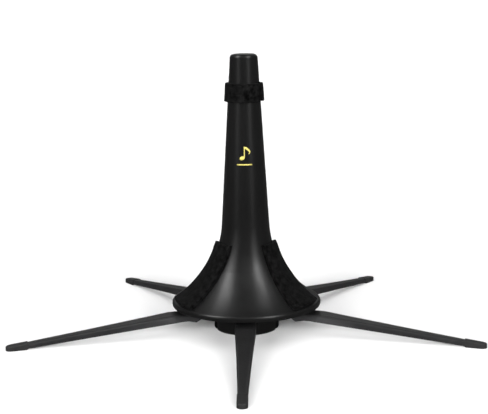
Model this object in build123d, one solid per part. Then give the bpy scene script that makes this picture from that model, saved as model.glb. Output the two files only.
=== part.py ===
from build123d import *
from math import asin, cos, degrees, radians, sin, tan
import os

# A folding in-bell trumpet stand: a hollow flared cone that screws onto a round hub, and five
# channel legs that hinge down out of slots in the hub. Millimetres, Z = 0 is the floor and Z runs
# up the cone's axis. Leg 1 points along -Y and the others follow every 72 degrees.

# Driving dimensions
CONE_TOP = 186.4             # height of the nose
NOSE_RADIUS = 9.1            # the cone's radius if its neck ran up to a sharp nose
NECK_TAPER = 3.5             # degrees from upright, each side
LEG_COUNT = 5
LEG_REACH = 163.3            # from the axis to a foot's tip
HUB_RADIUS = 22.0

# Cone wall: neck, two flare arcs and an upright rounded lip. A lean is the surface's angle from upright.
WALL = 2.2
NOSE_EDGE_RADIUS = 2.6
NOSE_WALL = 2.6
FLARE_TOP = 72.0
FLARE_ARCS = [(57.7, 32.9), (71.6, 59.8)]     # radius, and the lean where each ends
LIP_RADIUS = 2.0
LIP_BAND = 0.8               # height of the lip's upright part
LIP_UNDER_RADIUS = 2.2
LIP_UNDER_ANGLE = 33.0
LIP_WALL = 2.3

# Screw joint between cone and hub
BOSS_INNER_RADIUS = 23.4
BOSS_OUTER_RADIUS = 26.4
BOSS_TOP = 46.0              # within the cone's wall, which closes over the boss
SPIGOT_RADIUS = 22.9
SPIGOT_TOP = 27.0
SPIGOT_CHAMFER = 0.8
FLANGE_RADIUS = 26.0
FLANGE_TOP = 17.0
WASHER_INNER_RADIUS = 23.1
WASHER_THICKNESS = 1.0
CUP_RADIUS = 19.8
CUP_FLOOR = 18.6

# Hub and hinge
HUB_BOTTOM = 0.2
HUB_SPLIT = 14.6             # where the crown sits on the base
HUB_EDGE_RADIUS = 2.4
HINGE_RADIUS = 17.0          # from the axis to each hinge pin
HINGE_HEIGHT = 11.0
PIN_RADIUS = 1.5
PIN_LENGTH = 12.0
PIN_HOLE_RADIUS = 1.55
GROOVE_CLEARANCE = 0.02
KEEPER_CLEARANCE = 0.2
SLOT_HALF_WIDTH = 3.1
SLOT_INNER = 13.2            # the upper slot clears the leg's ears
SLOT_STEP_HEIGHT = 7.0
SLOT_INNER_LOW = 16.8        # the lower slot is where the folded leg hangs
SCREW_CIRCLE = 17.0
SCREW_RADIUS = 1.25
SCREW_END = 5.0
SCREW_HEAD_RADIUS = 2.2
SCREW_HEAD_HEIGHT = 1.5
SCREW_CLEARANCE = 0.2        # round the shank in the crown
RECESS_LENGTH = 2.4          # the head's cross recess
RECESS_WIDTH = 0.55
RECESS_DEPTH = 1.0

# Leg: a pressed channel, open underneath
LEG_SHEET = 1.2
LEG_TOP = 14.5
LEG_BEND = 53.5              # where the level root turns down
LEG_TOP_SLOPE = 6.2          # degrees
LEG_END = 160.0              # the steel ends inside the foot
NECK_HALF_WIDTH = 2.8        # the neck folds inside the hub's slot
NECK_END = 29.0              # past the hub's rim when the leg is folded
NECK_SPLAY = 45.0            # degrees, from the neck out to the full width
ROOT_HALF_WIDTH = 6.8
ROOT_END = 50.0
MIDDLE = 95.0
MIDDLE_HALF_WIDTH = 4.8
TIP_HALF_WIDTH = 2.7
LEG_SHOULDER_RADIUS = 1.5
EAR_RADIUS = 3.5
RELIEF_HEIGHT = 11.3         # underside between the ears and the heel
RELIEF_END = 33.0
HEEL = (37.0, 8.9)
HEEL_END = (42.3, 10.0)
LEVEL_END = (46.7, 10.0)
LEG_UNDER_SLOPE = 5.15       # degrees
LEG_TIP_BOTTOM = 1.0         # the underside is level again inside the foot

# Foot: a rubber shoe over the tip of a leg
FOOT_START = 148.6
SOLE_START = 150.2
FOOT_HALF_WIDTH = 3.25
FOOT_COVER = 0.3             # rubber over the leg's top
FOOT_EDGE_RADIUS = 0.7

# Fabric: pads on the flare and a band round the neck
PAD_TOP = 60.6
PAD_THICKNESS = 2.5
PAD_CLEARANCE = 0.05
PAD_END_LEAN = 59.0              # just above the lip
PAD_TOP_CHORD = (16.0, 9.0)      # distance out from the axis, and half the pad's width there
PAD_BOTTOM_CHORD = (47.0, 14.7)
PAD_AZIMUTHS = [-30.0, 90.0, 208.0]
PAD_TURNS = [-8.0, 0.0, -2.5]    # degrees that each pad is glued askew, about its middle
BAND_BOTTOM = 155.3
BAND_TOP = 167.5
BAND_THICKNESS = 2.4

LEG_AZIMUTHS = [-90.0 + 360.0 / LEG_COUNT * i for i in range(LEG_COUNT)]
SCREW_AZIMUTHS = [azimuth + 180.0 / LEG_COUNT for azimuth in LEG_AZIMUTHS]


def direction(lean):
    """The outward normal of a surface that leans by this many degrees, as (out, up)."""
    return Vector(cos(radians(lean)), sin(radians(lean)))


def neck_radius(z):
    """The cone's radius where its straight neck passes height z."""
    return NOSE_RADIUS + (CONE_TOP - z) * tan(radians(NECK_TAPER))


def flare_arcs():
    """Each arc of the flare, from the neck down: start lean, end lean, radius and centre."""
    arcs = []
    lean = NECK_TAPER
    point = Vector(neck_radius(FLARE_TOP), FLARE_TOP)
    for radius, end_lean in FLARE_ARCS:
        centre = point + direction(lean) * radius
        point = centre - direction(end_lean) * radius
        arcs.append((lean, end_lean, radius, centre))
        lean = end_lean
    return arcs


ARCS = flare_arcs()
LIP_LEAN = FLARE_ARCS[-1][1]


def flare_point(lean, offset):
    """The flare's point with this lean, moved off the surface by offset."""
    for _, end_lean, radius, centre in ARCS:
        if lean <= end_lean:
            break
    return centre - direction(lean) * (radius - offset)


def flare_curve(top_lean, bottom_lean, offset):
    """The flare's meridian between two leans, as arcs parallel to its surface."""
    curve = Curve()
    for start_lean, end_lean, _, _ in ARCS:
        start = max(start_lean, top_lean)
        end = min(end_lean, bottom_lean)
        middle = flare_point((start + end) / 2, offset)
        curve += ThreePointArc(flare_point(start, offset), middle, flare_point(end, offset))
    return curve


LIP_CENTRE = flare_point(LIP_LEAN, 0) - direction(LIP_LEAN) * LIP_RADIUS
RIM_RADIUS = LIP_CENTRE.X + LIP_RADIUS      # the cone's widest radius


def turned(outline):
    """Revolves a closed outline, drawn as (out, up), about the cone's axis."""
    return revolve(Plane.XZ * make_face(outline), Axis.Z)


def ring(inner_radius, outer_radius, bottom, top):
    """A plain ring about the cone's axis."""
    return Pos(0, 0, bottom) * extrude(Circle(outer_radius) - Circle(inner_radius), top - bottom)


def disc(radius, bottom, top):
    """A plain disc about the cone's axis."""
    return Pos(0, 0, bottom) * extrude(Circle(radius), top - bottom)


def cone_outside():
    """The cone as a solid body, with no hollow."""
    lip_start = flare_point(LIP_LEAN, 0)
    lip_middle = LIP_CENTRE + direction(LIP_LEAN / 2) * LIP_RADIUS
    widest = LIP_CENTRE + direction(0) * LIP_RADIUS
    band_end = widest - Vector(0, LIP_BAND)
    under_centre = band_end - direction(0) * LIP_UNDER_RADIUS
    under_middle = under_centre + direction(-LIP_UNDER_ANGLE / 2) * LIP_UNDER_RADIUS
    lip_end = under_centre + direction(-LIP_UNDER_ANGLE) * LIP_UNDER_RADIUS
    outline = Line((0, CONE_TOP), (NOSE_RADIUS, CONE_TOP))
    outline += Line((NOSE_RADIUS, CONE_TOP), flare_point(NECK_TAPER, 0))
    outline += flare_curve(NECK_TAPER, LIP_LEAN, 0)
    outline += ThreePointArc(lip_start, lip_middle, widest)
    outline += Line(widest, band_end)
    outline += ThreePointArc(band_end, under_middle, lip_end)
    outline += Polyline(lip_end, (0, lip_end.Y), (0, CONE_TOP))
    body = turned(outline)
    nose_edge = body.edges().filter_by(GeomType.CIRCLE).sort_by(Axis.Z)[-1]
    return fillet(nose_edge, NOSE_EDGE_RADIUS)


def cone_hollow():
    """The space inside the cone's wall, open at the bottom."""
    ceiling = CONE_TOP - NOSE_WALL
    across = WALL / cos(radians(NECK_TAPER))
    ceiling_radius = neck_radius(ceiling) - across
    wall_end = flare_point(LIP_LEAN, -WALL)
    mouth_radius = RIM_RADIUS - LIP_WALL - LIP_UNDER_RADIUS * (1 - cos(radians(LIP_UNDER_ANGLE)))
    outline = Line((0, ceiling), (ceiling_radius, ceiling))
    outline += Line((ceiling_radius, ceiling), flare_point(NECK_TAPER, -WALL))
    outline += flare_curve(NECK_TAPER, LIP_LEAN, -WALL)
    outline += Polyline(wall_end, (mouth_radius, wall_end.Y), (mouth_radius, 0), (0, 0), (0, ceiling))
    return turned(outline)


def cone_body():
    """The moulded cone: a thin shell with a round boss inside that screws onto the hub."""
    outside = cone_outside()
    boss = ring(BOSS_INNER_RADIUS, BOSS_OUTER_RADIUS, FLANGE_TOP + WASHER_THICKNESS, BOSS_TOP)
    return outside - cone_hollow() + (boss & outside)


def cone_washer():
    """The rubber ring that the cone is screwed down on."""
    return ring(WASHER_INNER_RADIUS, FLANGE_RADIUS, FLANGE_TOP, FLANGE_TOP + WASHER_THICKNESS)


def band_on_neck():
    """The strip of fabric round the neck, parallel to its taper."""
    low = neck_radius(BAND_BOTTOM) + PAD_CLEARANCE
    high = neck_radius(BAND_TOP) + PAD_CLEARANCE
    corners = [(low, BAND_BOTTOM), (low + BAND_THICKNESS, BAND_BOTTOM)]
    corners += [(high + BAND_THICKNESS, BAND_TOP), (high, BAND_TOP)]
    return turned(Polyline(*corners, close=True))


def lean_at_height(z):
    """The lean of the flare's first arc where its surface passes height z."""
    _, _, radius, centre = ARCS[0]
    return degrees(asin((centre.Y - z) / radius))


def flare_pad(turn):
    """One pad, a tapered strip that lies down the flare, pointing along +X and turned askew."""
    top_lean = lean_at_height(PAD_TOP)
    near = PAD_CLEARANCE
    far = PAD_CLEARANCE + PAD_THICKNESS
    outline = flare_curve(top_lean, PAD_END_LEAN, near)
    outline += Line(flare_point(PAD_END_LEAN, near), flare_point(PAD_END_LEAN, far))
    outline += flare_curve(top_lean, PAD_END_LEAN, far)
    outline += Line(flare_point(top_lean, near), flare_point(top_lean, far))
    run = PAD_BOTTOM_CHORD[0] - PAD_TOP_CHORD[0]
    widening = (PAD_BOTTOM_CHORD[1] - PAD_TOP_CHORD[1]) / run
    inner = PAD_TOP_CHORD[1] - PAD_TOP_CHORD[0] * widening
    outer = inner + 2 * RIM_RADIUS * widening
    corners = [(0, inner), (2 * RIM_RADIUS, outer), (2 * RIM_RADIUS, -outer), (0, -inner)]
    wedge = extrude(make_face(Polyline(*corners, close=True)), CONE_TOP)
    middle = (PAD_TOP_CHORD[0] + PAD_BOTTOM_CHORD[0]) / 2
    return turned(outline) & Pos(middle, 0) * Rot(0, 0, turn) * Pos(-middle, 0) * wedge


def leg_slot():
    """What one leg needs cut out of the hub's base, pointing along +X."""
    width = 2 * SLOT_HALF_WIDTH
    reach = 2 * HUB_RADIUS
    at_front = (Align.MIN, Align.CENTER, Align.MIN)
    upper = Pos(SLOT_INNER, 0, SLOT_STEP_HEIGHT) * Box(reach, width, HUB_SPLIT, align=at_front)
    lower = Pos(SLOT_INNER_LOW, 0, -HUB_BOTTOM) * Box(reach, width, HUB_SPLIT, align=at_front)
    return upper + lower


def across_hinge(radius, length):
    """A cylinder along the hinge axis of the leg that points along +X."""
    return Pos(HINGE_RADIUS, 0, HINGE_HEIGHT) * Rot(90, 0, 0) * Cylinder(radius, length)


def pin_groove():
    """The groove that one hinge pin is laid into from above."""
    radius = PIN_RADIUS + GROOVE_CLEARANCE
    length = PIN_LENGTH + 2 * GROOVE_CLEARANCE
    at_bottom = (Align.CENTER, Align.CENTER, Align.MIN)
    opening = Pos(HINGE_RADIUS, 0, HINGE_HEIGHT) * Box(2 * radius, length, HUB_SPLIT, align=at_bottom)
    return across_hinge(radius, length) + opening


def hub_base():
    """The lower half of the hub: slots for the legs and grooves for their pins."""
    body = disc(HUB_RADIUS, HUB_BOTTOM, HUB_SPLIT)
    body = fillet(body.edges().sort_by(Axis.Z)[0], HUB_EDGE_RADIUS)
    for azimuth in LEG_AZIMUTHS:
        body -= Rot(0, 0, azimuth) * leg_slot()
        body -= Rot(0, 0, azimuth) * pin_groove()
    for azimuth in SCREW_AZIMUTHS:
        hole = disc(SCREW_RADIUS + GROOVE_CLEARANCE, SCREW_END - GROOVE_CLEARANCE, CUP_FLOOR)
        body -= Rot(0, 0, azimuth) * Pos(SCREW_CIRCLE, 0, 0) * hole
    return body


def pin_keepers():
    """Two tongues under the crown that hold one hinge pin down in its groove."""
    bottom = HINGE_HEIGHT + PIN_RADIUS + GROOVE_CLEARANCE
    bearing = PIN_LENGTH / 2 - SLOT_HALF_WIDTH
    keepers = Part()
    for side in (-1, 1):
        middle = side * (SLOT_HALF_WIDTH + bearing / 2)
        at_bottom = (Align.CENTER, Align.CENTER, Align.MIN)
        width = 2 * PIN_RADIUS - KEEPER_CLEARANCE
        tongue = Box(width, bearing - KEEPER_CLEARANCE, HUB_SPLIT - bottom, align=at_bottom)
        keepers += Pos(HINGE_RADIUS, middle, bottom) * tongue
    return keepers


def hub_crown():
    """The upper half of the hub: the legs stop under its flange and the cone screws round it."""
    flange = disc(FLANGE_RADIUS, HUB_SPLIT, FLANGE_TOP)
    spigot = disc(SPIGOT_RADIUS, HUB_SPLIT, SPIGOT_TOP)
    spigot = chamfer(spigot.edges().sort_by(Axis.Z)[-1], SPIGOT_CHAMFER)
    body = flange + spigot - disc(CUP_RADIUS, CUP_FLOOR, SPIGOT_TOP + WALL)
    for azimuth in LEG_AZIMUTHS:
        body += Rot(0, 0, azimuth) * pin_keepers()
    for azimuth in SCREW_AZIMUTHS:
        hole = disc(SCREW_RADIUS + SCREW_CLEARANCE, 0, SPIGOT_TOP)
        body -= Rot(0, 0, azimuth) * Pos(SCREW_CIRCLE, 0, 0) * hole
    return body


def hub_screw():
    """One pan-head screw with a cross recess, standing on the crown's floor."""
    shank = disc(SCREW_RADIUS, SCREW_END, CUP_FLOOR)
    head = disc(SCREW_HEAD_RADIUS, CUP_FLOOR, CUP_FLOOR + SCREW_HEAD_HEIGHT)
    head = fillet(head.edges().sort_by(Axis.Z)[-1], SCREW_HEAD_HEIGHT / 2)
    depth = 2 * RECESS_DEPTH
    recess = Box(RECESS_LENGTH, RECESS_WIDTH, depth) + Box(RECESS_WIDTH, RECESS_LENGTH, depth)
    return shank + head - Pos(0, 0, CUP_FLOOR + SCREW_HEAD_HEIGHT) * recess


def leg_top_height(x):
    """The height of a leg's top along its length, past the bend."""
    return LEG_TOP - (x - LEG_BEND) * tan(radians(LEG_TOP_SLOPE))


def leg_plan(inset, start, end):
    """The leg's outline from above, drawn in by inset, along +X."""
    neck = NECK_HALF_WIDTH - inset
    root = ROOT_HALF_WIDTH - inset
    middle = MIDDLE_HALF_WIDTH - inset
    tip = TIP_HALF_WIDTH - inset
    neck_end = NECK_END + inset * tan(radians(NECK_SPLAY / 2))
    root_start = neck_end + (root - neck) / tan(radians(NECK_SPLAY))
    upper_side = [(start, neck), (neck_end, neck), (root_start, root), (ROOT_END, root)]
    lower_side = [(x, -y) for x, y in reversed(upper_side)]
    outline = Polyline(*lower_side, *upper_side)
    outline += ThreePointArc((ROOT_END, root), (MIDDLE, middle), (end, tip))
    outline += Line((end, tip), (end, -tip))
    outline += ThreePointArc((end, -tip), (MIDDLE, -middle), (ROOT_END, -root))
    return extrude(make_face(outline), CONE_TOP)


def leg_side():
    """The leg's outline from the side, from the hinge out to the tip."""
    slope_end = LEVEL_END[0] + (LEVEL_END[1] - LEG_TIP_BOTTOM) / tan(radians(LEG_UNDER_SLOPE))
    corners = [(HINGE_RADIUS, LEG_TOP), (LEG_BEND, LEG_TOP), (LEG_END, leg_top_height(LEG_END))]
    corners += [(LEG_END, LEG_TIP_BOTTOM), (slope_end, LEG_TIP_BOTTOM), LEVEL_END, HEEL_END, HEEL]
    corners += [(RELIEF_END, RELIEF_HEIGHT), (HINGE_RADIUS, RELIEF_HEIGHT)]
    return extrude(Plane.XZ * make_face(Polyline(*corners, close=True)), 2 * ROOT_HALF_WIDTH, both=True)


def leg_channel():
    """The open space under the leg's top, between its flanges."""
    start = HINGE_RADIUS - 2 * EAR_RADIUS
    end = LEG_END - 2 * LEG_SHEET
    ceiling = LEG_TOP - LEG_SHEET
    corners = [(start, ceiling), (LEG_BEND, ceiling), (end, leg_top_height(end) - LEG_SHEET)]
    corners += [(end, -LEG_TOP), (start, -LEG_TOP)]
    below = extrude(Plane.XZ * make_face(Polyline(*corners, close=True)), 2 * ROOT_HALF_WIDTH, both=True)
    return below & leg_plan(LEG_SHEET, start, end)


def is_shoulder(edge):
    """True for the edges down each side of the leg's top, past its neck."""
    middle = edge @ 0.5
    on_top = abs(middle.Z - leg_top_height(max(middle.X, LEG_BEND))) < LEG_SHEET / 10
    return on_top and middle.X > NECK_END and abs(middle.Y) > TIP_HALF_WIDTH


def leg():
    """One leg, pointing along +X, in its open position, with a round ear about the hinge."""
    blank = leg_side() & leg_plan(0, HINGE_RADIUS - EAR_RADIUS, LEG_END)
    blank = fillet(blank.edges().filter_by(is_shoulder), LEG_SHOULDER_RADIUS)
    blank += across_hinge(EAR_RADIUS, 2 * NECK_HALF_WIDTH)
    return blank - leg_channel() - across_hinge(PIN_HOLE_RADIUS, 2 * HUB_RADIUS)


def foot():
    """The rubber shoe on the leg that points along +X, moulded round its tip."""
    straight = LEG_REACH - FOOT_HALF_WIDTH - FOOT_START
    at_start = (Align.MIN, Align.CENTER)
    plan = Pos(FOOT_START, 0) * Rectangle(straight, 2 * FOOT_HALF_WIDTH, align=at_start)
    plan += Pos(LEG_REACH - FOOT_HALF_WIDTH, 0) * Circle(FOOT_HALF_WIDTH)
    corners = [(SOLE_START, 0), (LEG_REACH, 0), (LEG_REACH, leg_top_height(LEG_REACH) + FOOT_COVER)]
    corners += [(FOOT_START, leg_top_height(FOOT_START) + FOOT_COVER), (FOOT_START, LEG_TIP_BOTTOM)]
    side = make_face(Polyline(*corners, close=True))
    blank = extrude(plan, CONE_TOP) & extrude(Plane.XZ * side, ROOT_HALF_WIDTH, both=True)
    top_edges = blank.faces().filter_by(lambda face: face.normal_at().Z > 0.9)[0].edges()
    return fillet(top_edges, FOOT_EDGE_RADIUS) - leg()


def write(shape, node):
    """Writes one sub-part."""
    export_step(shape, f"parts/{node}.step")


def main():
    os.makedirs("parts", exist_ok=True)
    write(cone_body(), "cone_body")
    write(band_on_neck(), "neck_band")
    write(cone_washer(), "cone_washer")
    write(hub_base(), "hub_base")
    write(hub_crown(), "hub_crown")
    screws = [Rot(0, 0, azimuth) * Pos(SCREW_CIRCLE, 0, 0) * hub_screw() for azimuth in SCREW_AZIMUTHS]
    write(Compound(children=screws), "hub_screws")
    for number, (azimuth, turn) in enumerate(zip(PAD_AZIMUTHS, PAD_TURNS), start=1):
        write(Rot(0, 0, azimuth) * flare_pad(turn), f"flare_pad_{number}")
    for number, azimuth in enumerate(LEG_AZIMUTHS, start=1):
        write(Rot(0, 0, azimuth) * across_hinge(PIN_RADIUS, PIN_LENGTH), f"leg_pin_{number}")
        write(Rot(0, 0, azimuth) * leg(), f"leg_{number}")
        write(Rot(0, 0, azimuth) * foot(), f"foot_{number}")


main()
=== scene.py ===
import math
import bpy
from mathutils import Matrix, Vector, noise


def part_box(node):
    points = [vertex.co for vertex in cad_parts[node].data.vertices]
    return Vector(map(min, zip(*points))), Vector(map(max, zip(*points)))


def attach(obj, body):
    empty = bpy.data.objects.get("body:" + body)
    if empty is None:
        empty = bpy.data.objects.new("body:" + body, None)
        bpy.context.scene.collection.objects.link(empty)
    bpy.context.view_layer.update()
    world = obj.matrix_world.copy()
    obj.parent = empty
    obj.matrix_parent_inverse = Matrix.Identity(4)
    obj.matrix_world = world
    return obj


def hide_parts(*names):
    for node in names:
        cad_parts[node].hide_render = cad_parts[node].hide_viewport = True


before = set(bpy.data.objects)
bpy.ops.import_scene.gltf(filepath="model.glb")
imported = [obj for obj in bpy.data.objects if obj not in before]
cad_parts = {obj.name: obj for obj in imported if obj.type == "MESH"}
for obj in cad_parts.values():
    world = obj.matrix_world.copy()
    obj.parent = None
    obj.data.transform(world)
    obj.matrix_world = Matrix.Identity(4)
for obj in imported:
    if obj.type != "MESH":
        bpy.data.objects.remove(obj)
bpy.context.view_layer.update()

# A folding trumpet stand. Metres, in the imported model's frame: Z = 0 is the floor, Z runs up the
# cone's axis and leg 1 points along -Y.
MM = 0.001

# The cone's outer surface: a straight neck, then two arcs. A lean is the angle from upright.
CONE_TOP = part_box("cone_body")[1].z
NOSE_RADIUS = 9.1 * MM
NECK_LEAN = math.radians(3.5)
FLARE_TOP = 72.0 * MM
ARC_RADII = (57.7 * MM, 71.6 * MM)
ARC_ENDS = (math.radians(32.9), math.radians(59.8))


def direction(lean):
    """The outward normal of a surface with this lean, as (out, up)."""
    return Vector((math.cos(lean), math.sin(lean)))


def neck_radius(z):
    """The cone's radius where its straight neck passes height z."""
    return NOSE_RADIUS + (CONE_TOP - z) * math.tan(NECK_LEAN)


def flare_arcs():
    """Each arc of the flare, from the neck down: start lean, end lean, radius and centre."""
    arcs = []
    lean = NECK_LEAN
    point = Vector((neck_radius(FLARE_TOP), FLARE_TOP))
    for radius, end in zip(ARC_RADII, ARC_ENDS):
        centre = point + direction(lean) * radius
        point = centre - direction(end) * radius
        arcs.append((lean, end, radius, centre))
        lean = end
    return arcs


ARCS = flare_arcs()
PAD_END_LEAN = math.radians(59)


def flare_point(lean, offset):
    """(radius, height) of the flare where it has this lean, offset off its surface."""
    for _, end, radius, centre in ARCS:
        if lean <= end:
            break
    return centre - direction(lean) * (radius - offset)


def flare_lean(distance, top_lean):
    """The flare's lean at this distance down its surface from the point with lean top_lean."""
    for start, end, radius, _ in ARCS:
        start = max(start, top_lean)
        run = radius * (end - start)
        if distance <= run:
            return start + distance / radius
        distance -= run
    return ARC_ENDS[-1]


def flare_length(top_lean, bottom_lean):
    """The distance down the flare between two leans."""
    runs = [radius * (min(end, bottom_lean) - max(start, top_lean)) for start, end, radius, _ in ARCS]
    return sum(runs)


def polar(radius, azimuth, z):
    """A point at this radius and azimuth about the cone's axis."""
    return Vector((radius * math.cos(azimuth), radius * math.sin(azimuth), z))


# ---------------------------------------------------------------- materials

def new_material(name):
    """A node material and its Principled shader."""
    material = bpy.data.materials.new(name)
    material.use_nodes = True
    return material, material.node_tree.nodes["Principled BSDF"]


def add_node(material, kind, **settings):
    """A node with some of its settings: inputs by name, properties by attribute."""
    node = material.node_tree.nodes.new(kind)
    for key, value in settings.items():
        if key in node.inputs:
            node.inputs[key].default_value = value
        else:
            setattr(node, key, value)
    return node


def link(material, source, target):
    """Joins an output to an input."""
    material.node_tree.links.new(source, target)


def object_noise(material, scale, detail=4.0, rough=0.55, stretch=(1, 1, 1)):
    """Noise in the part's own frame, features 1/scale metres across."""
    place = add_node(material, "ShaderNodeTexCoord")
    mapping = add_node(material, "ShaderNodeMapping")
    mapping.inputs["Scale"].default_value = stretch
    texture = add_node(material, "ShaderNodeTexNoise", Scale=scale, Detail=detail, Roughness=rough)
    link(material, place.outputs["Object"], mapping.inputs["Vector"])
    link(material, mapping.outputs["Vector"], texture.inputs["Vector"])
    return texture.outputs["Fac"]


def spread(material, value, low, high, start=0.3, end=0.7):
    """Maps a value from start..end onto low..high."""
    node = add_node(material, "ShaderNodeMapRange")
    node.inputs["From Min"].default_value = start
    node.inputs["From Max"].default_value = end
    node.inputs["To Min"].default_value = low
    node.inputs["To Max"].default_value = high
    link(material, value, node.inputs["Value"])
    return node.outputs["Result"]


def two_colours(material, value, dark, light, start=0.3, end=0.7):
    """Blends two colours by a value."""
    ramp = add_node(material, "ShaderNodeValToRGB")
    ramp.color_ramp.elements[0].position = start
    ramp.color_ramp.elements[0].color = (*dark, 1)
    ramp.color_ramp.elements[1].position = end
    ramp.color_ramp.elements[1].color = (*light, 1)
    link(material, value, ramp.inputs["Fac"])
    return ramp.outputs["Color"]


def bump(material, value, distance, strength=1.0, under=None):
    """A bump from a value, on top of another bump if one is given."""
    node = add_node(material, "ShaderNodeBump", Strength=strength, Distance=distance)
    link(material, value, node.inputs["Height"])
    if under is not None:
        link(material, under, node.inputs["Normal"])
    return node.outputs["Normal"]


def moulded_plastic(name, dark, light, smooth, rough):
    """Black moulded plastic: faint flow mottling, fine spark-eroded grain and soft scuffs."""
    material, shader = new_material(name)
    flow = object_noise(material, 45, detail=3, stretch=(1, 1, 0.35))
    link(material, two_colours(material, flow, dark, light), shader.inputs["Base Color"])
    scuffs = object_noise(material, 160, detail=6, rough=0.65, stretch=(1, 1, 0.25))
    link(material, spread(material, scuffs, smooth, rough), shader.inputs["Roughness"])
    grain = object_noise(material, 2600, detail=2)
    waves = object_noise(material, 28, detail=1)
    soft = bump(material, waves, 0.12 * MM, strength=0.3)
    link(material, bump(material, grain, 0.012 * MM, strength=0.35, under=soft), shader.inputs["Normal"])
    shader.inputs["IOR"].default_value = 1.5
    return material


def powder_coat(name):
    """Dark grey powder coat: orange peel, fine sparkle in the gloss, and edges rubbed a little."""
    material, shader = new_material(name)
    cloud = object_noise(material, 60, detail=4)
    body = two_colours(material, cloud, (0.0065, 0.0065, 0.0067), (0.0095, 0.0095, 0.0098))
    worn = add_node(material, "ShaderNodeNewGeometry").outputs["Pointiness"]
    edge = spread(material, worn, 0.0, 0.45, start=0.53, end=0.62)
    mix = add_node(material, "ShaderNodeMix", data_type="RGBA")
    link(material, edge, mix.inputs["Factor"])
    link(material, body, mix.inputs[6])
    mix.inputs[7].default_value = (0.03, 0.03, 0.031, 1)
    link(material, mix.outputs[2], shader.inputs["Base Color"])
    gloss = object_noise(material, 900, detail=3)
    link(material, spread(material, gloss, 0.34, 0.46), shader.inputs["Roughness"])
    peel = bump(material, object_noise(material, 1500, detail=2), 0.02 * MM, strength=0.5)
    link(material, peel, shader.inputs["Normal"])
    return material


def moulded_rubber(name, colour, rough):
    """Matte rubber with a faint bloom and fine grain."""
    material, shader = new_material(name)
    bloom = object_noise(material, 220, detail=5)
    light = tuple(1.5 * c for c in colour)
    link(material, two_colours(material, bloom, colour, light), shader.inputs["Base Color"])
    link(material, spread(material, bloom, rough - 0.06, rough + 0.08), shader.inputs["Roughness"])
    grain = bump(material, object_noise(material, 3000, detail=2), 0.02 * MM, strength=0.4)
    link(material, grain, shader.inputs["Normal"])
    return material


def zinc_plate(name):
    """Bright zinc plate with fine turning marks and a faint cloudy tarnish."""
    material, shader = new_material(name)
    cloud = object_noise(material, 700, detail=4)
    plate = two_colours(material, cloud, (0.42, 0.42, 0.43), (0.6, 0.6, 0.6))
    link(material, plate, shader.inputs["Base Color"])
    shader.inputs["Metallic"].default_value = 1.0
    link(material, spread(material, cloud, 0.28, 0.42), shader.inputs["Roughness"])
    turning = object_noise(material, 4000, detail=1, stretch=(0.1, 0.1, 1))
    link(material, bump(material, turning, 0.01 * MM, strength=0.4), shader.inputs["Normal"])
    return material


def velvet(name):
    """Short black pile: patches where it lies this way and that, tufts, and a faint sheen."""
    material, shader = new_material(name)
    patches = object_noise(material, 330, detail=3, rough=0.6)
    tufts = object_noise(material, 1500, detail=3, rough=0.7)
    blend = add_node(material, "ShaderNodeMath", operation="MULTIPLY_ADD")
    blend.inputs[1].default_value = 0.45
    link(material, tufts, blend.inputs[0])
    shade = add_node(material, "ShaderNodeMath", operation="MULTIPLY")
    shade.inputs[1].default_value = 0.55
    link(material, patches, shade.inputs[0])
    link(material, shade.outputs[0], blend.inputs[2])
    colour = two_colours(material, blend.outputs[0], (0.0002,) * 3, (0.0038,) * 3, 0.42, 0.61)
    link(material, colour, shader.inputs["Base Color"])
    shader.inputs["Roughness"].default_value = 0.95
    shader.inputs["Specular IOR Level"].default_value = 0.12
    shader.inputs["Sheen Weight"].default_value = 0.006
    shader.inputs["Sheen Roughness"].default_value = 0.45
    coarse = bump(material, patches, 0.25 * MM, strength=0.6)
    link(material, bump(material, tufts, 0.12 * MM, strength=0.8, under=coarse), shader.inputs["Normal"])
    return material


def gold_print(name):
    """Pad-printed gold ink, a little patchy."""
    material, shader = new_material(name)
    patches = object_noise(material, 1800, detail=4)
    ink = two_colours(material, patches, (0.3, 0.26, 0.06), (0.46, 0.4, 0.11))
    link(material, ink, shader.inputs["Base Color"])
    link(material, spread(material, patches, 0.35, 0.5), shader.inputs["Roughness"])
    shader.inputs["Metallic"].default_value = 0.25
    return material


CONE_PLASTIC = moulded_plastic("cone_plastic", (0.0018, 0.0018, 0.0018), (0.0028, 0.0028, 0.0028), 0.28, 0.34)
HUB_PLASTIC = moulded_plastic("hub_plastic", (0.001, 0.001, 0.001), (0.0018, 0.0018, 0.0018), 0.45, 0.56)
LEG_PAINT = powder_coat("leg_paint")
FOOT_RUBBER = moulded_rubber("foot_rubber", (0.008, 0.008, 0.008), 0.5)
WASHER_RUBBER = moulded_rubber("washer_rubber", (0.004, 0.004, 0.004), 0.7)
STEEL = zinc_plate("hardware_steel")
PILE = velvet("black_pile")
GOLD = gold_print("gold_ink")


# ---------------------------------------------------------------- mesh helpers

def new_object(name, vertices, faces, material):
    """A smooth-shaded mesh object in the scene."""
    mesh = bpy.data.meshes.new(name)
    mesh.from_pydata([tuple(v) for v in vertices], [], faces)
    mesh.materials.append(material)
    mesh.shade_smooth()
    made = bpy.data.objects.new(name, mesh)
    bpy.context.scene.collection.objects.link(made)
    return made


def stations(length, edge, inner_count):
    """Distances from 0 to length, closer together within edge of each end."""
    near = [0, 0.12 * edge, 0.35 * edge, 0.65 * edge, edge]
    step = (length - 2 * edge) / inner_count
    middle = [edge + step * i for i in range(1, inner_count)]
    return near + middle + [length - d for d in reversed(near)]


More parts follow.
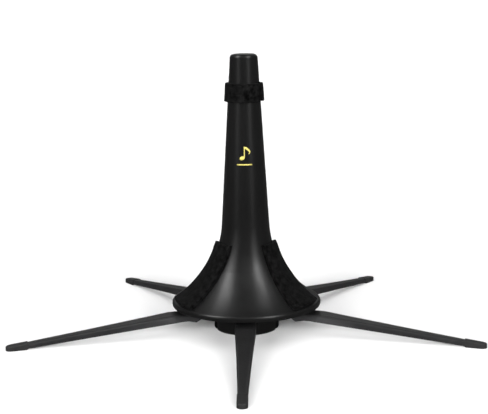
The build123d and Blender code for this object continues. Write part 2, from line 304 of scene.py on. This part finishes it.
def box_shell(us, vs, ws):
    """The lattice points on the surface of a box, and its faces. Points are (i, j, k) indexes."""
    last = (len(us) - 1, len(vs) - 1, len(ws) - 1)
    index = {}

    def vertex(i, j, k):
        return index.setdefault((i, j, k), len(index))

    faces = []
    for k, flip in ((0, True), (last[2], False)):
        for i in range(last[0]):
            for j in range(last[1]):
                quad = [vertex(i, j, k), vertex(i + 1, j, k), vertex(i + 1, j + 1, k), vertex(i, j + 1, k)]
                faces.append(quad[::-1] if flip else quad)
    for j, flip in ((0, False), (last[1], True)):
        for i in range(last[0]):
            for k in range(last[2]):
                quad = [vertex(i, j, k), vertex(i + 1, j, k), vertex(i + 1, j, k + 1), vertex(i, j, k + 1)]
                faces.append(quad[::-1] if flip else quad)
    for i, flip in ((0, True), (last[0], False)):
        for j in range(last[1]):
            for k in range(last[2]):
                quad = [vertex(i, j, k), vertex(i, j + 1, k), vertex(i, j + 1, k + 1), vertex(i, j, k + 1)]
                faces.append(quad[::-1] if flip else quad)
    return sorted(index, key=index.get), faces


def rounded(point, low, high, radius):
    """Moves a point on a box's surface in, so that the box has edges of this radius."""
    core = [min(max(p, a + r), b - r) for p, a, b, r in zip(point, low, high, radius)]
    away = Vector([(p - c) / r for p, c, r in zip(point, core, radius)])
    if away.length < 1e-9:
        return Vector(point)
    away = away / away.length
    return Vector([c + a * r for c, a, r in zip(core, away, radius)])


# ---------------------------------------------------------------- fabric

PAD_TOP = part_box("flare_pad_1")[1].z
PAD_THICKNESS = 2.5 * MM
GLUE_GAP = 0.05 * MM
PAD_TOP_CHORD = (16.0 * MM, 9.0 * MM)
PAD_BOTTOM_CHORD = (47.0 * MM, 14.7 * MM)
PAD_AZIMUTHS = (math.radians(-30), math.radians(90), math.radians(208))
PAD_SKEWS = (math.radians(-8), 0.0, math.radians(-2.5))
FABRIC_STEP = 1.15 * MM
EDGE = 0.8 * MM                   # how far the fabric's rounded border reaches in
BORDER = (0.5 * MM, 0.5 * MM, 0.6 * MM)
SWELL_LIMIT = 0.4 * MM
SIM_SCALE = 14                    # cloth is simulated this much larger, about the size of a cushion
SIM_FRAMES = 20
PILE_HEIGHT = 0.14 * MM


def pile(point, height, seed):
    """How far the pile stands proud at a point: soft hills and finer tufts."""
    hills = noise.noise(point * 260 + seed)
    tufts = noise.noise(point * 1100 + seed)
    return height * (0.55 * hills + 0.45 * tufts)


def fluff(obj, height, seed):
    """Raises the pile along the normals of a finished piece of fabric, more on its face than its back."""
    offset = Vector((seed, 2 * seed, 3 * seed))
    mesh = obj.data
    normals = [v.normal.copy() for v in mesh.vertices]
    lifts = mesh.attributes["face_side"].data
    for vertex, normal, lift in zip(mesh.vertices, normals, lifts):
        vertex.co += normal * pile(vertex.co, height, offset) * lift.value


def apply_modifiers(obj):
    """Leaves the object with its modifiers' result as its mesh, and with no modifiers."""
    evaluated = obj.evaluated_get(bpy.context.evaluated_depsgraph_get())
    result = bpy.data.meshes.new_from_object(evaluated)
    obj.modifiers.clear()
    obj.data = result


def swell(obj, backing):
    """Puffs up fabric that is glued down over its backing, as cloth under a little pressure."""
    scene = bpy.context.scene
    mesh = obj.data
    start = [v.co.copy() for v in mesh.vertices]
    for vertex in mesh.vertices:
        vertex.co *= SIM_SCALE
    glued = obj.vertex_groups.new(name="glued")
    glued.add(backing, 1.0, "REPLACE")
    cloth = obj.modifiers.new("cloth", "CLOTH")
    cloth.settings.vertex_group_mass = "glued"
    cloth.settings.use_pressure = True
    cloth.settings.uniform_pressure_force = 4.0
    cloth.settings.tension_stiffness = 8.0
    cloth.settings.bending_stiffness = 1.5
    cloth.settings.effector_weights.gravity = 0.0
    cloth.settings.quality = 6
    cloth.collision_settings.use_collision = False
    cloth.point_cache.frame_start = 1
    cloth.point_cache.frame_end = SIM_FRAMES
    for moment in range(1, SIM_FRAMES + 1):
        scene.frame_set(moment)
    apply_modifiers(obj)
    obj.vertex_groups.clear()
    scene.frame_set(1)
    for vertex, before in zip(obj.data.vertices, start):
        move = vertex.co / SIM_SCALE - before
        if move.length > SWELL_LIMIT:
            move = move * (SWELL_LIMIT / move.length)
        vertex.co = before + move


def make_fabric(name, spans, place, seed):
    """A strip of velvet: a closed form built flat, laid by place(along, across, up), swollen and fluffed."""
    length, width, thickness = spans
    us = stations(length, EDGE, round(length / FABRIC_STEP))
    vs = stations(width, EDGE, round(width / FABRIC_STEP))
    ws = (0, 0.4 * thickness, 0.75 * thickness, thickness)
    lattice, faces = box_shell(us, vs, ws)
    points = []
    for i, j, k in lattice:
        soft = BORDER if k > 0 else (0.1 * MM, 0.1 * MM, 0.1 * MM)
        points.append(place(*rounded((us[i], vs[j], ws[k]), (0, 0, 0), spans, soft)))
    fabric = new_object(name, points, faces, PILE)
    face_side = fabric.data.attributes.new("face_side", "FLOAT", "POINT")
    face_side.data.foreach_set("value", [float(k > 0) for _, _, k in lattice])
    swell(fabric, [index for index, (_, _, k) in enumerate(lattice) if k == 0])
    smooth = fabric.modifiers.new("smooth", "SUBSURF")
    smooth.levels = 1
    apply_modifiers(fabric)
    fabric.data.shade_smooth()
    fluff(fabric, PILE_HEIGHT, seed)
    return fabric


PAD_RUN = PAD_BOTTOM_CHORD[0] - PAD_TOP_CHORD[0]
PAD_WIDENING = (PAD_BOTTOM_CHORD[1] - PAD_TOP_CHORD[1]) / PAD_RUN
PAD_MIDDLE = Vector(((PAD_TOP_CHORD[0] + PAD_BOTTOM_CHORD[0]) / 2, 0))


def pad_half_width(out):
    """Half a pad's width at this distance out from the axis."""
    return PAD_TOP_CHORD[1] + (out - PAD_TOP_CHORD[0]) * PAD_WIDENING


def pad_turn(radius, share, skew):
    """The angle from a pad's middle line to a point at this radius, share of its half-width across."""
    low, high = 0.0, 2 * radius
    for _ in range(24):
        out = (low + high) / 2
        point = Vector((out, share * pad_half_width(out)))
        point = PAD_MIDDLE + Matrix.Rotation(skew, 2) @ (point - PAD_MIDDLE)
        if point.length < radius:
            low = out
        else:
            high = out
    return math.atan2(point.y, point.x)


def make_pad(number):
    """A velvet pad, glued down the flare: flat underneath, soft on top."""
    azimuth = PAD_AZIMUTHS[number - 1]
    skew = PAD_SKEWS[number - 1]
    first_arc = ARCS[0]
    outer_radius = first_arc[2] - PAD_THICKNESS - GLUE_GAP
    top_lean = math.asin((first_arc[3].y - PAD_TOP) / outer_radius)
    width = 2 * PAD_BOTTOM_CHORD[1]

    def place(along, across, up):
        lean = flare_lean(along, top_lean)
        out, z = flare_point(lean, up + GLUE_GAP)
        turn = pad_turn(flare_point(lean, 0).x, 2 * across / width - 1, skew)
        return polar(out, azimuth + turn, z)

    spans = (flare_length(top_lean, PAD_END_LEAN), width, PAD_THICKNESS)
    pad = make_fabric(f"velvet_pad_{number}", spans, place, 3.7 * number)
    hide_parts(f"flare_pad_{number}")
    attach(pad, "cone")


BAND_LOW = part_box("neck_band")[0].z
BAND_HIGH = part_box("neck_band")[1].z
BAND_THICKNESS = 2.3 * MM
BAND_SEAM = math.radians(-30)      # azimuth where the strip's two ends meet
BAND_GAP = 0.3 * MM
LOOSE_LENGTH = 8 * MM              # this much of one end has come away a little
LOOSE_RISE = 0.9 * MM
LOOSE_LIFT = 0.4 * MM


def make_band():
    """The velvet strip round the neck. Its ends meet at the side, and one end stands a little off."""
    width = BAND_HIGH - BAND_LOW
    radius = neck_radius((BAND_LOW + BAND_HIGH) / 2)
    length = 2 * math.pi * radius - BAND_GAP

    def place(along, across, up):
        loose = max(0.0, 1 - along / LOOSE_LENGTH) ** 2
        z = BAND_LOW + across + LOOSE_RISE * loose
        out = neck_radius(z) + GLUE_GAP + up + LOOSE_LIFT * loose
        return polar(out, BAND_SEAM + along / radius, z)

    band = make_fabric("velvet_neck_band", (length, width, BAND_THICKNESS), place, 17.3)
    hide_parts("neck_band")
    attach(band, "cone")


# ---------------------------------------------------------------- screw thread

THREAD_PITCH = 4.0 * MM
THREAD_DEPTH = 0.35 * MM
THREAD_ROOT = 0.1 * MM            # how far a ridge's foot is sunk into its wall
THREAD_LOW = 19.2 * MM
THREAD_FACETS = 72                # per turn
FADE_STEPS = 14
FADE_END = 0.05                   # a ridge's height at its very end, as a share of its full height
SPIGOT_RADIUS = 22.9 * MM
BORE_RADIUS = 23.4 * MM


def make_thread(name, root, crest, low, high, body, material):
    """A right-hand thread ridge on a round wall, fading to a low edge at both ends."""
    turns = (high - low) / THREAD_PITCH
    steps = round(THREAD_FACETS * turns)
    vertices = []
    for n in range(steps + 1):
        turn = 2 * math.pi * turns * n / steps
        z = low + (high - low) * n / steps
        fade = max(FADE_END, min(1.0, n / FADE_STEPS, (steps - n) / FADE_STEPS))
        top = root + (crest - root) * fade
        for radius, rise in ((root, -0.9), (top, -0.35), (top, 0.35), (root, 0.9)):
            vertices.append(polar(radius, turn, z + rise * MM))
    faces = [(3, 2, 1, 0), tuple(4 * steps + k for k in (0, 1, 2, 3))]
    for n in range(steps):
        for k in range(4):
            a = 4 * n + k
            b = 4 * n + (k + 1) % 4
            faces.append((a, b, b + 4, a + 4))
    if crest > root:
        faces = [face[::-1] for face in faces]
    ridge = new_object(name, vertices, faces, material)
    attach(ridge, body)


def make_threads():
    """The cone's thread and the hub's, half a pitch apart so that they stay in mesh as the cone turns."""
    hub_root = SPIGOT_RADIUS - THREAD_ROOT
    hub_crest = SPIGOT_RADIUS + THREAD_DEPTH
    make_thread("hub_thread", hub_root, hub_crest, THREAD_LOW, THREAD_LOW + 6 * MM, "hub", HUB_PLASTIC)
    low = THREAD_LOW + THREAD_PITCH / 2
    cone_root = BORE_RADIUS + THREAD_ROOT
    cone_crest = BORE_RADIUS - THREAD_DEPTH
    make_thread("cone_thread", cone_root, cone_crest, low, low + 16 * MM, "cone", CONE_PLASTIC)


# ---------------------------------------------------------------- printed mark

MARK_HEIGHT = 122.3 * MM


def printed_strip(name, centre_line, half_widths, thickness):
    """A thin printed shape on the front of the neck, from a centre line in (across, up) and half-widths."""
    count = len(centre_line)
    vertices = []
    for n, (point, half) in enumerate(zip(centre_line, half_widths)):
        before = centre_line[max(n - 1, 0)]
        after = centre_line[min(n + 1, count - 1)]
        run = (after - before).normalized()
        side = Vector((-run.y, run.x))
        for offset in (half, 0.0, -half):
            across, up = point + side * offset
            base = neck_radius(up)
            for lift in (0.0, thickness):
                vertices.append(polar(base + lift, math.radians(-90) + across / base, up))
    faces = []
    for n in range(count - 1):
        a = 6 * n
        b = a + 6
        for lane in (0, 2):
            faces.append((a + lane + 1, b + lane + 1, b + lane + 3, a + lane + 3))
            faces.append((a + lane, a + lane + 2, b + lane + 2, b + lane))
        faces.append((a, b, b + 1, a + 1))
        faces.append((a + 4, a + 5, b + 5, b + 4))
    for a, flip in ((0, False), (6 * (count - 1), True)):
        for lane in (0, 2):
            quad = (a + lane, a + lane + 1, a + lane + 3, a + lane + 2)
            faces.append(quad[::-1] if flip else quad)
    return new_object(name, vertices, [face[::-1] for face in faces], GOLD)


def make_mark():
    """A plain printed quaver over a short bar."""
    head_centre = Vector((-1.5 * MM, MARK_HEIGHT - 3.3 * MM))
    tilt = Matrix.Rotation(math.radians(22), 2)
    steps = 22
    turns = [math.pi * (t / steps - 0.5) for t in range(steps + 1)]
    head_line = [head_centre + tilt @ Vector((1.75 * MM * math.sin(turn), 0)) for turn in turns]
    head_width = [1.25 * MM * math.cos(turn) + 0.02 * MM for turn in turns]
    stem_x = -0.05 * MM
    stem_line = [Vector((stem_x, MARK_HEIGHT + z * MM)) for z in (-2.9, -1.5, 0.0, 1.5, 3.0, 4.3)]
    flag_line = []
    flag_width = []
    for t in range(19):
        share = t / 18
        sweep = Vector((3.4 * MM * math.sin(2.2 * share) ** 1.2, -4.6 * MM * share))
        flag_line.append(Vector((stem_x + 0.2 * MM, MARK_HEIGHT + 4.0 * MM)) + sweep)
        flag_width.append((0.95 - 0.75 * share) * MM * min(1.0, 0.4 + 3 * share))
    bar_line = [Vector((x * MM, MARK_HEIGHT - 7.6 * MM)) for x in (-5.2, -3, -1, 1, 3, 5.2)]
    stem_width = [0.33 * MM] * len(stem_line)
    bar_width = [0.42 * MM] * len(bar_line)
    strips = (
        ("note_head", head_line, head_width, 0.06),
        ("note_stem", stem_line, stem_width, 0.07),
        ("note_flag", flag_line, flag_width, 0.065),
        ("plain_bar", bar_line, bar_width, 0.06),
    )
    for name, line, widths, thickness in strips:
        strip = printed_strip(name, line, widths, thickness * MM)
        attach(strip, "cone")


# ---------------------------------------------------------------- CAD nodes' finishes

def finish_nodes():
    """Gives each carried-over CAD node its material."""
    finishes = {
        "cone_body": CONE_PLASTIC,
        "cone_washer": WASHER_RUBBER,
        "hub_base": HUB_PLASTIC,
        "hub_crown": HUB_PLASTIC,
        "hub_screws": STEEL,
        "leg": LEG_PAINT,
        "leg_pin": STEEL,
        "foot": FOOT_RUBBER,
    }
    for name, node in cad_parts.items():
        kind = name.rstrip("_0123456789")
        if kind in finishes:
            for place in node.material_slots:
                place.material = finishes[kind]


# ---------------------------------------------------------------- stage

def make_floor():
    """A plain pale floor, far larger than the view."""
    material, shader = new_material("floor")
    shader.inputs["Base Color"].default_value = (0.86, 0.86, 0.86, 1)
    shader.inputs["Roughness"].default_value = 1.0
    shader.inputs["Specular IOR Level"].default_value = 0.0
    size = 20.0
    corners = [(-size, -size, 0), (size, -size, 0), (size, size, 0), (-size, size, 0)]
    floor = new_object("floor", corners, [(0, 1, 2, 3)], material)
    floor.visible_glossy = False


def sun(name, azimuth, elevation, spread_angle, strength):
    """Soft daylight from one side, in degrees. It is kept out of reflections."""
    data = bpy.data.lights.new(name, "SUN")
    data.angle = math.radians(spread_angle)
    data.energy = strength
    light = bpy.data.objects.new(name, data)
    height = math.radians(elevation)
    toward = polar(math.cos(height), math.radians(azimuth), math.sin(height))
    light.rotation_euler = toward.to_track_quat("Z", "Y").to_euler()
    light.visible_glossy = False
    bpy.context.scene.collection.objects.link(light)


def softbox(name, path, half_width):
    """A long glowing strip that only reflections see. path holds x, y, z and how strong it is there."""
    material, shader = new_material(name)
    shader.inputs["Base Color"].default_value = (0, 0, 0, 1)
    shader.inputs["Specular IOR Level"].default_value = 0.0
    shader.inputs["Emission Color"].default_value = (1, 1, 1, 1)
    glow = add_node(material, "ShaderNodeAttribute", attribute_name="glow")
    link(material, glow.outputs["Fac"], shader.inputs["Emission Strength"])
    vertices = []
    strengths = []
    points = [Vector(entry[:3]) for entry in path]
    for n, (point, entry) in enumerate(zip(points, path)):
        run = points[min(n + 1, len(points) - 1)] - points[max(n - 1, 0)]
        side = run.cross(point).normalized()
        for share, soft in ((-1, 0.0), (-0.6, 0.6), (-0.2, 1.0), (0.2, 1.0), (0.6, 0.6), (1, 0.0)):
            vertices.append(point + side * half_width * share)
            strengths.append(entry[3] * soft)
    faces = []
    for n in range(len(path) - 1):
        for lane in range(5):
            a = 6 * n + lane
            faces.append((a, a + 1, a + 7, a + 6))
    strip = new_object(name, vertices, faces, material)
    glows = strip.data.attributes.new("glow", "FLOAT", "POINT")
    glows.data.foreach_set("value", strengths)
    strip.visible_camera = False
    strip.visible_diffuse = False
    strip.visible_shadow = False


def make_lights():
    """A soft sky for the white ground, three low front lights, and strips that draw the highlights."""
    world = bpy.data.worlds.new("studio")
    world.use_nodes = True
    bpy.context.scene.world = world
    background = world.node_tree.nodes["Background"]
    path = world.node_tree.nodes.new("ShaderNodeLightPath")
    level = world.node_tree.nodes.new("ShaderNodeMapRange")
    level.inputs["To Min"].default_value = 0.09
    level.inputs["To Max"].default_value = 1.1
    world.node_tree.links.new(path.outputs["Is Camera Ray"], level.inputs["Value"])
    world.node_tree.links.new(level.outputs["Result"], background.inputs["Strength"])
    background.inputs["Color"].default_value = (1, 1, 1, 1)
    sun("sky", -90, 88, 100, 1.5)
    sun("front_left", -120, 13, 30, 5.0)
    sun("front_middle", -90, 12, 30, 2.0)
    sun("front_right", -60, 13, 30, 4.6)
    left = [(-1, -1.1, 0.02, 0.8), (-1, -1.03, 0.5, 1), (-1, -0.72, 0.86, 3), (-1, -0.5, 1.2, 7)]
    left += [(-1, -0.38, 1.45, 10), (-1, -0.24, 1.8, 7.5), (-1, 0.09, 2.2, 4), (-1, 0.6, 2.6, 2)]
    left += [(-1, 1.6, 3.6, 0)]
    right = [(1, -1.3, 0.02, 1), (1, -1.25, 0.9, 2), (1, -1.1, 1.35, 8), (1, -0.88, 1.75, 11)]
    right += [(1, -0.63, 2.1, 8), (1, -0.3, 2.6, 4.5), (1, 0.1, 3.2, 2), (1, 1.2, 4.2, 0)]
    front = [(0, -1.8, 0.8, 0), (0, -1.5, 1.3, 0.4), (0, -1, 1.8, 0.45), (0, -0.4, 2.1, 0)]
    back = [(-1.6, 1.8, 1, 0.1), (-0.8, 2, 1, 0.5), (0.8, 2, 1, 0.5), (1.6, 1.8, 1, 0.1)]
    softbox("softbox_left", left, 0.34)
    softbox("softbox_right", right, 0.34)
    softbox("front_fill", front, 0.9)
    softbox("back_card", back, 0.7)


def make_camera():
    """The camera, level with the photograph's: slightly above, a long lens."""
    data = bpy.data.cameras.new("camera")
    data.sensor_width = 36.0
    data.lens = 93.2
    data.shift_x = -0.0029
    camera = bpy.data.objects.new("camera", data)
    heading = Matrix.Rotation(math.radians(1.09), 4, "Z")
    tilt = Matrix.Rotation(math.radians(90 - 10.74), 4, "X")
    roll = Matrix.Rotation(math.radians(-0.66), 4, "Z")
    camera.matrix_world = Matrix.Translation((0.0159, -0.8342, 0.2422)) @ heading @ tilt @ roll
    bpy.context.scene.collection.objects.link(camera)
    bpy.context.scene.camera = camera


finish_nodes()
for pad_number in (1, 2, 3):
    make_pad(pad_number)
make_band()
make_threads()
make_mark()
make_floor()
make_lights()
make_camera()
bpy.context.scene.view_settings.view_transform = "Standard"
